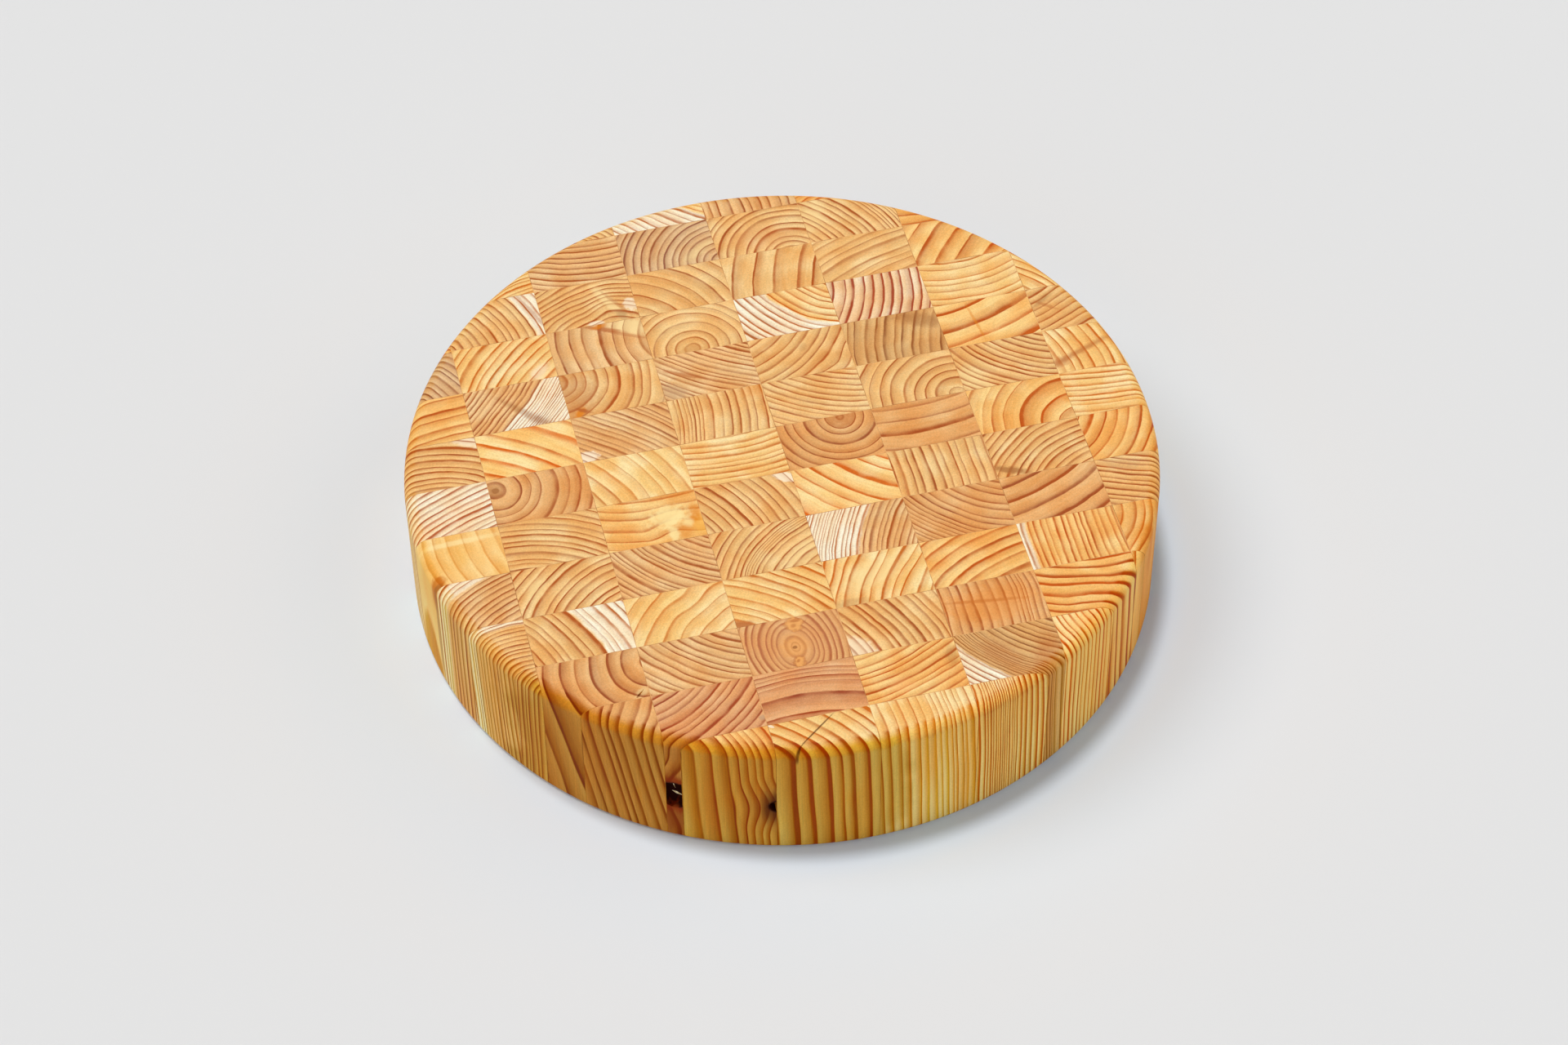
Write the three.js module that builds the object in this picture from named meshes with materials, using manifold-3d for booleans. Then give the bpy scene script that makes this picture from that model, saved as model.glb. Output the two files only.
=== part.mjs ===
// Round end-grain cheese board: larch blocks stood on end, glued side by side and turned to a disc.
// Millimetres, +Z up. The origin is the centre of the underside. Strips of blocks run along Y and lie side by
// side along X, and the blocks of every strip line up in rows along X.

import * as THREE from 'three';
import { mergeVertices } from 'three/addons/utils/BufferGeometryUtils.js';
import Module from 'manifold-3d';

// Driving dimensions
const BOARD_DIAMETER = 305;
const BOARD_THICKNESS = 60;
const TOP_EDGE_RADIUS = 5.5;
const BOTTOM_EDGE_RADIUS = 2;
const BLOCK_WIDTH = 39.7; // one block across its strip
const BLOCK_DEPTH = 24.6; // one block along its strip
const GLUE_LINE = 0.2; // film of adhesive between two blocks
const STRIP_SEAM_X = 1.1; // the glue line between the two middle strips
const ROW_SEAM_Y = -10; // the glue line in front of the middle row

// Fineness of the round rim
const RIM_SEGMENTS = 96;
const EDGE_STEPS = 4;

// The rows at which each strip is cut into blocks. Strips go from left to right, rows are numbered from the front,
// and a block starts at each row named. The end blocks of a strip run out to the rim and take in the rim's offcuts.
const STRIPS = [
  { letter: 'a', cuts: [6, 8] },
  { letter: 'b', cuts: [5, 6, 7, 8, 9, 10] },
  { letter: 'c', cuts: [4, 5, 6, 7, 8, 9, 10, 11] },
  { letter: 'd', cuts: [3, 4, 5, 6, 7, 8, 9, 10, 11, 12] },
  { letter: 'e', cuts: [3, 4, 5, 6, 7, 8, 9, 10, 11, 12] },
  { letter: 'f', cuts: [4, 5, 6, 7, 8, 9, 10, 11] },
  { letter: 'g', cuts: [5, 6, 7, 8, 9, 10] },
  { letter: 'h', cuts: [7] },
];
const MIDDLE_STRIP = 4; // counting from 0, the strip to the right of STRIP_SEAM_X
const MIDDLE_ROW = 7; // the row behind ROW_SEAM_Y

// How far a cutting box runs past the board on every side
const CUT_MARGIN = 5;

// Larch, from pale sapwood to red heartwood, and the dry adhesive
const LARCH_TONES = ['#e2b878', '#d8a564', '#cf9854', '#dcae70', '#c98f52', '#d49c58', '#e6c088'];
const LARCH_ROUGHNESS = 0.5;
const GLUE_COLOUR = '#6e4522';
const GLUE_ROUGHNESS = 0.6;

// Steps from tone to tone along a strip and from strip to strip, so that like blocks don't meet
const TONE_STEP_ALONG = 3;
const TONE_STEP_ACROSS = 2;

const RADIUS = BOARD_DIAMETER / 2;
const STRIP_PITCH = BLOCK_WIDTH + GLUE_LINE;
const ROW_PITCH = BLOCK_DEPTH + GLUE_LINE;

const wasm = await Module();
wasm.setup();

// A closed three.js geometry as a solid that can be joined and cut.
function solidFrom(geometry) {
  const bare = geometry.clone();
  bare.deleteAttribute('normal');
  bare.deleteAttribute('uv');
  const merged = mergeVertices(bare);
  const corners = merged.index.array;
  const triangles = [];
  for (let i = 0; i < corners.length; i += 3) {
    const [a, b, c] = corners.slice(i, i + 3);
    if (a !== b && b !== c && c !== a) triangles.push(a, b, c);
  }
  return new wasm.Manifold(new wasm.Mesh({
    numProp: 3,
    vertProperties: new Float32Array(merged.attributes.position.array),
    triVerts: new Uint32Array(triangles),
  }));
}

// A solid back as a three.js geometry.
function geometryFrom(solid) {
  const mesh = solid.getMesh();
  const geometry = new THREE.BufferGeometry();
  geometry.setAttribute('position', new THREE.BufferAttribute(new Float32Array(mesh.vertProperties), 3));
  geometry.setIndex(new THREE.BufferAttribute(new Uint32Array(mesh.triVerts), 1));
  geometry.computeVertexNormals();
  return geometry;
}

// A box between two corners. Each coordinate is exactly the one given, so boxes that share a face meet in it.
function boxBetween(low, high) {
  const geometry = new THREE.BoxGeometry(1, 1, 1);
  const position = geometry.attributes.position;
  for (let i = 0; i < position.count; i += 1) {
    position.setXYZ(
      i,
      position.getX(i) < 0 ? low.x : high.x,
      position.getY(i) < 0 ? low.y : high.y,
      position.getZ(i) < 0 ? low.z : high.z,
    );
  }
  return solidFrom(geometry);
}

// The turned outline: flat underside, small lower edge round, upright side, larger upper edge round, flat top.
function boardDisc() {
  const profile = [new THREE.Vector2(0, 0)];
  const lowerCentre = new THREE.Vector2(RADIUS - BOTTOM_EDGE_RADIUS, BOTTOM_EDGE_RADIUS);
  const upperCentre = new THREE.Vector2(RADIUS - TOP_EDGE_RADIUS, BOARD_THICKNESS - TOP_EDGE_RADIUS);
  for (let step = 0; step <= EDGE_STEPS; step += 1) {
    const turn = (step / EDGE_STEPS - 1) * Math.PI / 2;
    profile.push(new THREE.Vector2(
      lowerCentre.x + BOTTOM_EDGE_RADIUS * Math.cos(turn),
      lowerCentre.y + BOTTOM_EDGE_RADIUS * Math.sin(turn),
    ));
  }
  for (let step = 0; step <= EDGE_STEPS; step += 1) {
    const turn = step / EDGE_STEPS * Math.PI / 2;
    profile.push(new THREE.Vector2(
      upperCentre.x + TOP_EDGE_RADIUS * Math.cos(turn),
      upperCentre.y + TOP_EDGE_RADIUS * Math.sin(turn),
    ));
  }
  profile.push(new THREE.Vector2(0, BOARD_THICKNESS));
  const lathe = new THREE.LatheGeometry(profile, RIM_SEGMENTS);
  lathe.rotateX(Math.PI / 2); // the lathe turns about Y, the board about Z
  return solidFrom(lathe);
}

const disc = boardDisc();

// Seam n lies to the left of strip n, or in front of row n.
const seamX = (strip) => STRIP_SEAM_X + (strip - MIDDLE_STRIP) * STRIP_PITCH;
const seamY = (row) => ROW_SEAM_Y + (row - MIDDLE_ROW) * ROW_PITCH;

// A cutting box runs past the disc, and past its flat faces.
const REACH = RADIUS + CUT_MARGIN;
const BELOW = -CUT_MARGIN;
const ABOVE = BOARD_THICKNESS + CUT_MARGIN;
const HALF_GLUE = GLUE_LINE / 2;

// The blocks of one strip from front to back, each cut to the disc.
function stripBlocks(strip) {
  const { letter, cuts } = STRIPS[strip];
  const left = strip === 0 ? -REACH : seamX(strip) + HALF_GLUE;
  const right = strip === STRIPS.length - 1 ? REACH : seamX(strip + 1) - HALF_GLUE;
  const blocks = [];
  for (let i = 0; i <= cuts.length; i += 1) {
    const front = i === 0 ? -REACH : seamY(cuts[i - 1]) + HALF_GLUE;
    const rear = i === cuts.length ? REACH : seamY(cuts[i]) - HALF_GLUE;
    const box = boxBetween({ x: left, y: front, z: BELOW }, { x: right, y: rear, z: ABOVE });
    const number = String(i + 1).padStart(2, '0');
    const tone = (strip * TONE_STEP_ACROSS + i * TONE_STEP_ALONG) % LARCH_TONES.length;
    blocks.push({ name: `strip_${letter}_block_${number}`, solid: box.intersect(disc), color: LARCH_TONES[tone] });
  }
  return blocks;
}

// The adhesive: a long sheet in every strip seam, and a short one across a strip wherever it is cut.
function glueWeb() {
  const sheets = [];
  for (let strip = 0; strip < STRIPS.length; strip += 1) {
    const left = strip === 0 ? -REACH : seamX(strip) - HALF_GLUE;
    const right = strip === STRIPS.length - 1 ? REACH : seamX(strip + 1) + HALF_GLUE;
    if (strip > 0) {
      const inner = seamX(strip) + HALF_GLUE;
      sheets.push(boxBetween({ x: left, y: -REACH, z: BELOW }, { x: inner, y: REACH, z: ABOVE }));
    }
    for (const cut of STRIPS[strip].cuts) {
      const front = seamY(cut) - HALF_GLUE;
      const rear = seamY(cut) + HALF_GLUE;
      sheets.push(boxBetween({ x: left, y: front, z: BELOW }, { x: right, y: rear, z: ABOVE }));
    }
  }
  return sheets.reduce((web, sheet) => web.add(sheet)).intersect(disc);
}

function part(name, solid, color, roughness) {
  const material = new THREE.MeshStandardMaterial({ color, roughness, metalness: 0 });
  const mesh = new THREE.Mesh(geometryFrom(solid), material);
  mesh.name = name;
  return mesh;
}

const board = new THREE.Group();
for (let strip = 0; strip < STRIPS.length; strip += 1) {
  for (const { name, solid, color } of stripBlocks(strip)) board.add(part(name, solid, color, LARCH_ROUGHNESS));
}
board.add(part('glue_web', glueWeb(), GLUE_COLOUR, GLUE_ROUGHNESS));

export default board;
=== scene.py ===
import itertools
import math

import bmesh
import bpy
from mathutils import Matrix, Vector, noise


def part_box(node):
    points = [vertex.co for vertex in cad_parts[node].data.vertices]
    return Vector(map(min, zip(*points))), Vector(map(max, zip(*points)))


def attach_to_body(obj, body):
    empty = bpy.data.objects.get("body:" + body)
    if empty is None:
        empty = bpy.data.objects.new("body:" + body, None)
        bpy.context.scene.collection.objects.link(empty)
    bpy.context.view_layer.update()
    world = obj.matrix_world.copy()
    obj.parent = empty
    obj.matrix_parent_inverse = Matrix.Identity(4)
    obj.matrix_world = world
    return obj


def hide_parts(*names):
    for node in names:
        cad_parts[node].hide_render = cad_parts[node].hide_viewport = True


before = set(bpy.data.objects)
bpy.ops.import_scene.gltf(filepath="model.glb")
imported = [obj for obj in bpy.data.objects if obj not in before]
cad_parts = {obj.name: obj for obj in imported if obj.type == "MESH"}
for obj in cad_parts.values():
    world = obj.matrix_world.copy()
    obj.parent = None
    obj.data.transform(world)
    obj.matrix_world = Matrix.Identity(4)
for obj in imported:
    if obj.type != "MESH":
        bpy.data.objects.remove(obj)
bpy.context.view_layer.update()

# Sizes in millimetres, as in the part
MM = 0.001
BOARD_RADIUS = 152.5
BOARD_THICKNESS = 60.0
TOP_EDGE_RADIUS = 5.5
BOTTOM_EDGE_RADIUS = 2.0
GLUE_LINE = 0.2
HALF_LINE = GLUE_LINE / 2
STRIP_PITCH = 39.9
ROW_PITCH = 24.8
STRIP_SEAM_X = 1.1  # the seam to the left of strip e
ROW_SEAM_Y = -10.0  # the seam in front of row 7
STRIPS = "abcdefgh"
MIDDLE_STRIP = 4
MIDDLE_ROW = 7
LAST_ROW = 13

# Fineness of the rim
RIM_SEGMENTS = 288
TOP_EDGE_STEPS = 10
BOTTOM_EDGE_STEPS = 5
FLAT_MARGIN = 0.4  # a ring this far inside each flat face keeps its shading flat
SHARP_ANGLE = math.radians(30)
CUT_TOLERANCE = 1e-5

# The camera of the photograph
IMAGE_SENSOR = 36.0
CAMERA_LENS = 89.904
CAMERA_AZIMUTH = math.radians(-13.4735)
CAMERA_ELEVATION = math.radians(48.7897)
CAMERA_ROLL = math.radians(-0.6288)
CAMERA_DISTANCE = 1635.15
CAMERA_TARGET = Vector((4.284, 15.404, -0.459))
NEAREST_SEEN = 10.0

# Light and ground
BACKGROUND_GREY = 227
FLOOR_GLOW = 0.08  # of the floor's brightness to the camera that no shadow dims
WORLD_LIGHT = 0.10
LIGHTS = (
    # name, direction that it comes from, strength, angular size in degrees, whether it casts shadows
    ("key", Vector((-0.52, 0.24, 0.82)), 0.88, 30, True),
    ("top", Vector((-0.074, 0.128, 0.99)), 1.56, 8, True),
    ("right_fill", Vector((0.80, -0.20, 0.50)), 0.85, 60, False),
    ("left_fill", Vector((-0.68, -0.68, 0.26)), 0.56, 60, False),
)
FLOOR_REACH = 6000.0

# The paper is a little cooler beside the board, which evens out the warm light that the wood throws on it:
# how far from the rim (mm), and how much on the lit side and in the board's shadow
COOL_BANDS = (
    (20.0, (0.96, 1.0, 1.04, 1.0), (0.86, 0.98, 1.12, 1.0)),
    (90.0, (0.94, 1.0, 1.05, 1.0), (0.93, 1.0, 1.06, 1.0)),
)
SHADOW_BEARING = 325  # degrees from +X towards +Y
SHADOW_REACH = (-0.1, 0.8)  # cosines of the angle from there at which the shadow starts and is full


def heading(degrees):
    """The level unit vector at an angle from +X towards +Y."""
    turn = math.radians(degrees)
    return Vector((math.cos(turn), math.sin(turn), 0.0))


def linear(colour):
    """A colour written as three screen values from 0 to 255, as the linear colour that a shader takes."""
    parts = []
    for channel in colour:
        value = channel / 255
        parts.append(value / 12.92 if value <= 0.04045 else ((value + 0.055) / 1.055) ** 2.4)
    return (*parts, 1.0)


# Tones of larch: earlywood, the glow of its paler patches, and latewood
TONES = {
    "cream": ((254, 224, 180), (255, 238, 206), (184, 102, 62)),
    "pale": ((253, 202, 124), (255, 222, 158), (214, 108, 36)),
    "yellow": ((250, 201, 125), (255, 222, 160), (200, 110, 40)),
    "honey": ((240, 185, 116), (250, 207, 144), (174, 91, 43)),
    "orange": ((246, 182, 102), (254, 210, 138), (194, 92, 32)),
    "pink": ((245, 201, 150), (253, 221, 180), (170, 80, 50)),
    "tan": ((236, 181, 119), (247, 202, 145), (168, 93, 49)),
    "taupe": ((226, 176, 124), (238, 195, 145), (158, 95, 61)),
    "brown": ((231, 166, 101), (241, 185, 124), (166, 87, 46)),
    "red": ((229, 160, 106), (238, 179, 126), (162, 77, 46)),
    "olive": ((221, 165, 104), (233, 184, 122), (156, 95, 50)),
}
SAPWOOD = ((255, 240, 210), (188, 110, 56))

FAR_AWAY = 10000.0  # mm, further than any wood of the board

# How a block was sawn, unless its row in the table says otherwise
PLAIN_WOOD = {
    "late": 0.1,  # of a ring, where its wood starts to grow warmer
    "warm": 0.42,  # share of the dark colour that builds up slowly
    "line": 1.35,  # mm, width of the dark line that ends a ring, with its slow start
    "bold": 1.0,  # how strongly both show
    "glow": 0.8,  # how much of the earlywood is paler
    "wave": 0.7,  # mm, how far the rings wander
    "phase": 0.0,  # shift of the rings
    "stretch": 1.0,  # how much rounder or longer they are along Y
    "lean": None,  # mm that the pith moves along X and Y for each mm of depth, or a small lean of its own
    "sap": FAR_AWAY,  # mm from the pith, where sapwood starts
    "dense": (FAR_AWAY, FAR_AWAY + 1, 0.0),  # a band from and to (mm from the pith) with so many rings more
    "bend": (0.0, 0.0, 0.0, 1.0, 0.0),  # x, y, height, size and push of a knot that the rings pass round
    "marks": (),
}


def wood(tone, bearing, distance, ring, **more):
    """How one block was sawn: its tone, the way from its middle to the pith (degrees from +X towards +Y, mm),
    the width of a growth ring (mm), and what differs from plain wood."""
    return {**PLAIN_WOOD, "tone": tone, "bearing": bearing, "distance": distance, "ring": ring, **more}


def spot(x, y, length, width, turn, colour, amount, soft=0.5, ragged=0.5, deep=(12.0, 34.0)):
    """A knot, smudge, pale patch or resin streak: its middle from the block's middle, its half length and
    half width (mm), its turn (degrees), its colour, how far it covers the wood, how soft and ragged its
    border is, and the depths below the top between which it fades (mm)."""
    return {
        "middle": Vector((x, y, 0.0)), "shrink": (1 / length, 1 / width, 0.0), "turn": math.radians(turn),
        "tint": linear(colour), "amount": amount, "soft": soft, "ragged": ragged,
        "fade from": deep[0], "fade to": deep[1], "clear": LINES_THROUGH if colour in PALE_MARKS else 0.0,
    }


def blotch(x, y, height, length, width, tall, colour, amount, soft=0.5, ragged=0.5):
    """A spot of limited height, with its middle's height above the underside and its half height (mm)."""
    through = (BOARD_THICKNESS, BOARD_THICKNESS + 1)
    mark = spot(x, y, length, width, 0.0, colour, amount, soft, ragged, through)
    mark["middle"].z = height
    mark["shrink"] = (1 / length, 1 / width, 1 / tall)
    return mark


# Colours of the marks
GLOW = (255, 228, 164)
WHITE = (255, 238, 208)
BRIGHT = (255, 230, 162)
GOLD = (250, 184, 80)
AMBER = (226, 132, 34)
RUST = (182, 96, 46)
SMUDGE = (160, 98, 52)
GREY = (192, 158, 124)
BURNT = (172, 86, 34)
BARK = (176, 76, 30)
# painted shade, the near-black depth of the knot holes
HOLLOW_SHADE = (52, 16, 18)
# painted shade, darkening the inside of the crack and of the small knot hole
CRACK_SHADE = (104, 56, 26)
PALE_MARKS = (GLOW, WHITE)
LINES_THROUGH = 0.75  # how well the rings' lines show through a pale mark


# Every block by strip and row, rows counted from the front
BLOCKS = {
    "a03": wood("honey", 300, 70, 2.1, line=0.9),
    "a04": wood("honey", 285, 80, 2.1, line=0.9, sap=87.5),
    "a05": wood("tan", 305, 70, 2.6, line=1.1, sap=76, bold=1.1),
    "a06": wood("yellow", 10, 90, 6.0, bold=0.65, glow=1.0, marks=[
        spot(0, 0, 25, 16, 0, GOLD, 0.35), spot(2, 8, 16, 1.3, 2, GLOW, 0.7),
        spot(-9.0, -10.3, 3.4, 3.2, 0, (206, 116, 26), 0.85, 0.4, 0.6, deep=(8, 20)),
        spot(-9.5, -11.8, 2.5, 1.5, 0, SMUDGE, 0.6, deep=(45, 60))]),
    "a07": wood("cream", 295, 130, 2.8),
    "a08": wood("honey", 263, 43, 3.2, marks=[spot(17, 11, 8, 3, -30, WHITE, 0.7)]),
    "a09": wood("orange", 280, 120, 4.6),
    "a10": wood("taupe", 230, 40, 3.0),
    "a11": wood("orange", 230, 60, 3.0),
    "b02": wood("brown", 140, 60, 4.5, late=0.25, line=2.0, warm=0.55, bold=0.85, lean=(0.15, -0.12)),
    "b03": wood("brown", 10, 25, 6.2, warm=0.5, lean=(0.16, -0.02), marks=[
        spot(16.8, -9.9, 2.6, 1.7, 40, GLOW, 0.5, 0.4),
        spot(15.6, -11.0, 1.3, 0.5, 42, SMUDGE, 0.8, 0.2, 0.2)]),
    "b04": wood("honey", 205, 80, 3.6, sap=84.5, bold=0.9),
    "b05": wood("honey", 310, 50, 3.7, bold=1.15, marks=[spot(-12, 1, 6, 3.5, 60, GLOW, 0.5)]),
    "b06": wood("honey", 250, 60, 3.0, bold=0.85),
    "b07": wood("brown", 160, 18.4, 5.0, bold=0.85, marks=[
        spot(-18, 6, 3.5, 3, 0, SMUDGE, 0.4), spot(-17.3, 6.3, 1.6, 1.5, 0, SMUDGE, 0.7, 0.3, 0.3)]),
    "b08": wood("pale", 235, 110, 7.2, late=0.45, line=3.0, bold=1.1),
    "b09": wood("tan", 140, 160, 2.3, sap=163, dense=(163, 182, 7), marks=[
        spot(2, -3.7, 11.5, 1.6, -48, SMUDGE, 0.45, 0.7), spot(8, -10, 5, 2.5, -40, SMUDGE, 0.45, 0.7)]),
    "b10": wood("yellow", 318, 90, 3.8, marks=[spot(13, -8, 5, 2.5, 40, WHITE, 0.5)]),
    "b11": wood("honey", 202, 60, 3.3, sap=73, marks=[spot(16, 3, 12, 1.0, -68, RUST, 0.5)]),
    "b12": wood("yellow", 295, 60, 2.3),
    "c01": wood("orange", 200, 60, 4.3, line=1.2, dense=(64, 80, 2), warm=0.5, marks=[
        blotch(19.8, -0.9, 26.2, 8.0, 8.0, 12.0, BURNT, 0.75, 0.8),
        # painted shade darkens the small knot hole, deepest at its middle
        blotch(19.8, -0.9, 26.2, 5.0, 5.5, 8.5, CRACK_SHADE, 0.85, 0.6),
        blotch(19.8, -0.9, 26.2, 3.2, 4.3, 3.6, HOLLOW_SHADE, 1.0, 0.2, 0.2)], bend=(20, -1, 26, 20, -3.5)),
    "c02": wood("red", 125, 60, 3.5, bend=(-16.5, -11, 27, 24, 5), marks=[
        blotch(-16.5, -11, 20, 7.5, 7.5, 20, BURNT, 0.75, 0.3),
        blotch(-16.5, -11, 26.5, 8, 8, 11.5, BARK, 0.95, 0.15, 0.4),
        # painted shade in the depth of the knot hollow
        blotch(-16.5, -11, 26.5, 7.6, 7.6, 7.9, HOLLOW_SHADE, 1.0, 0.1, 0.2),
        spot(19.2, -8.2, 1.4, 1.2, 0, GREY, 0.6)]),
    "c03": wood("tan", 50, 60, 3.2, wave=1.4),
    "c04": wood("yellow", 315, 55, 6.2, bold=0.8, glow=1.0, bend=(6, 6, 60, 12, 2.5)),
    "c05": wood("tan", 45, 65, 2.6, glow=0.5),
    "c06": wood("orange", 85, 90, 5.0, bold=0.85, bend=(8, -3, 60, 14, 4), marks=[
        spot(19, -6, 5, 4, 80, GOLD, 0.6), spot(17, 0, 5, 2.6, 80, AMBER, 0.6, 0.4),
        spot(13, 9.5, 6, 3, 25, AMBER, 0.25), spot(7, 1, 7.5, 5, 10, BRIGHT, 0.75, 0.6, 0.9),
        spot(9, -1.5, 5, 1.6, 35, BRIGHT, 0.7), spot(14, -4, 2, 2.5, 0, BRIGHT, 0.6),
        spot(11.5, -8.5, 3.2, 3, 0, AMBER, 0.5), spot(7.2, -8.5, 2.2, 3.4, 0, BRIGHT, 0.7, 0.4, 0.7)]),
    "c07": wood("yellow", 205, 75, 5.6, bold=0.7, glow=1.1),
    "c08": wood("tan", 228, 150, 2.6, bold=0.85, marks=[spot(-18, -10, 5, 3, 10, WHITE, 0.85, 0.18)]),
    "c09": wood("honey", 158, 24, 4.6, marks=[
        spot(-17, 0, 14, 10, 80, RUST, 0.4), spot(-15.3, -10, 3, 1.6, 50, AMBER, 0.9),
        spot(-14, -9, 3, 1.0, -30, RUST, 0.8)]),
    "c10": wood("tan", 0, 40, 5.8, bold=0.95, marks=[
        spot(15, 8, 8, 4.5, -25, GLOW, 0.7), spot(3, 9.5, 9, 1.2, -25, RUST, 0.7),
        spot(12, 4, 9, 0.9, -27, RUST, 0.45), spot(2, 11, 3, 1.2, 10, AMBER, 0.7)]),
    "c11": wood("honey", 283, 36, 2.8, wave=1.6, bend=(8, -2, 60, 12, -3), marks=[
        spot(9, 0, 12, 2.2, -65, GLOW, 0.6), spot(17.5, -4, 2.6, 3.8, 10, WHITE, 0.7, 0.3, 0.9),
        spot(1.5, -11.5, 3.4, 1.3, 0, WHITE, 0.8, 0.25, 0.3), spot(13, -9, 3, 2, -60, SMUDGE, 0.5),
        spot(12, -2, 9, 0.8, -60, RUST, 0.4)]),
    "c12": wood("tan", 80, 62, 3.3),
    "c13": wood("honey", 230, 60, 2.5),
    "d01": wood("yellow", 215, 80, 4.5, line=1.8, bold=1.3, marks=[
        # painted shade along the crack and its notch
        spot(-2.4, 5.7, 9.6, 0.35, 37.9, CRACK_SHADE, 0.75, 0.5, 0.2, deep=(4, 8)),
        spot(-11.8, -2.2, 2.4, 0.6, 52, CRACK_SHADE, 0.8, 0.5, 0.2, deep=(5, 8)),
        spot(-14.0, -1.4, 2.6, 0.6, -45, BURNT, 0.7, 0.5, 0.2, deep=(5, 9)),
        spot(-19.0, 11.7, 1.5, 0.6, -35, WHITE, 0.95, 0.2, 0.2)]),
    "d02": wood("red", 265, 90, 7.4, dense=(93, 103, 2.5), warm=0.55),
    "d03": wood("brown", 257, 2.6, 2.3, stretch=0.7, bold=1.05, marks=[
        spot(0, 0, 25, 16, 0, (222, 160, 116), 0.3),
        spot(2, 8.8, 3.8, 3.8, 0, RUST, 0.6, 0.25, 0.8),
        spot(2, 8.8, 3.0, 3.2, 0, (244, 178, 104), 0.85, 0.3, 0.9),
        spot(2.5, 10.5, 2, 0.8, 0, RUST, 0.6), spot(-0.5, -9.8, 2.7, 3.0, 0, RUST, 0.6, 0.2),
        spot(-0.5, -9.8, 2.0, 2.4, 0, (242, 174, 100), 0.85, 0.3, 0.9),
        spot(-0.6, -2.2, 5.5, 5, 0, (242, 168, 88), 0.45),
        spot(1.6, 8.2, 1.1, 0.9, 20, RUST, 0.5, 0.6), spot(-0.9, -9.4, 0.9, 0.6, 50, RUST, 0.6, 0.5),
        spot(-0.6, -2.5, 0.9, 0.7, 0, SMUDGE, 0.8, 0.3)]),
    "d04": wood("yellow", 230, 70, 4.0, bold=1.1, marks=[spot(-18, -11.5, 5, 2, -5, RUST, 0.8)]),
    "d05": wood("honey", 315, 45, 3.4, dense=(41, 50, 4), marks=[spot(14, -6, 8, 5, 40, GLOW, 0.5)]),
    "d06": wood("honey", 205, 70, 3.8, marks=[spot(17, 10, 5, 2.5, -30, WHITE, 0.8, 0.2)]),
    "d07": wood("yellow", 90, 110, 3.1, glow=1.1, bold=0.8),
    "d08": wood("honey", 175, 80, 3.6, glow=1.2, bold=0.85, dense=(60, 75, 3.5), marks=[
        spot(17, 10, 7, 4, 0, AMBER, 0.35)]),
    "d09": wood("tan", 55, 110, 2.5, glow=1.1, marks=[
        spot(-10, 0.5, 9, 1.0, -28, RUST, 0.6), spot(-16, -8, 6, 4, -30, GREY, 0.45)]),
    "d10": wood("honey", 255, 11.5, 4.4, phase=0.3, glow=1.2, bold=0.9, marks=[
        spot(-3, -12, 4.5, 3, 0, (214, 150, 84), 0.6)]),
    "d11": wood("honey", 223, 40, 6.0, bold=0.85),
    "d12": wood("taupe", 328, 26.5, 3.3, marks=[spot(13, -5, 9, 2.5, 35, GLOW, 0.45)]),
    "d13": wood("pale", 40, 80, 3.2, sap=74),
    "e01": wood("yellow", 180, 120, 4.0, line=0.75, bold=0.8, glow=1.0, dense=(118, 140, 3.5)),
    "e02": wood("orange", 110, 90, 3.2, line=1.1, marks=[
        spot(17, 3, 5, 2.5, 80, SMUDGE, 0.35), spot(-5, -6, 5, 3, 0, (250, 180, 110), 0.4)]),
    "e03": wood("honey", 203, 90, 3.3, line=1.6, bold=0.95, marks=[
        spot(-17, -9, 8, 5, -40, WHITE, 0.6, 0.3)]),
    "e04": wood("yellow", 330, 100, 4.2, wave=1.4, bold=1.1, marks=[
        spot(-1, 2, 13, 6.5, 15, GLOW, 0.55), spot(-14, -11, 8, 2, 0, SMUDGE, 0.3)]),
    "e05": wood("tan", 335, 90, 2.4, sap=90, dense=(95, 115, 6)),
    "e06": wood("pale", 45, 60, 6.8, late=0.2, line=2.0, bold=1.1),
    "e07": wood("brown", 58, 13.2, 4.3, phase=0.5, glow=0.5, marks=[spot(7, 11.5, 5.5, 5, 0, RUST, 0.4)]),
    "e08": wood("honey", 62, 62, 3.0, glow=1.2, bold=0.85),
    "e09": wood("honey", 130, 55, 4.3, glow=1.0, bold=0.9, bend=(17, -11, 60, 13, -2.5), marks=[
        spot(1.7, 3.3, 2, 1.4, 60, SMUDGE, 0.3, 0.7)]),
    "e10": wood("yellow", 42, 50, 3.2, sap=48.5, bold=1.3),
    "e11": wood("honey", 342, 90, 8.2, late=0.3, line=2.0, bold=1.2),
    "e12": wood("honey", 300, 21.7, 3.6, line=1.7, bold=0.9, marks=[
        spot(2, -4, 14, 6, 0, (220, 126, 74), 0.22)]),
    "e13": wood("tan", 185, 120, 4.3),
    "f01": wood("yellow", 175, 100, 2.6, line=1.1, bold=1.5, dense=(80, 100, 8)),
    "f02": wood("olive", 45, 60, 2.5, line=1.0, bold=1.15, sap=71, dense=(58, 71, 5), marks=[
        spot(-4, 0, 9, 5, -50, RUST, 0.25), spot(13, -5, 9, 5, 50, RUST, 0.35)]),
    "f03": wood("brown", 180, 100, 3.9, dense=(108, 118, 2.5), marks=[
        spot(-3, 2, 15, 0.8, -8, RUST, 0.6), spot(0, 0, 18, 10, 0, (238, 142, 54), 0.38)]),
    "f04": wood("orange", 295, 70, 5.2, line=2.0, bold=0.95),
    "f05": wood("brown", 50, 55, 3.6, bold=0.85, dense=(58, 80, 4)),
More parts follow.
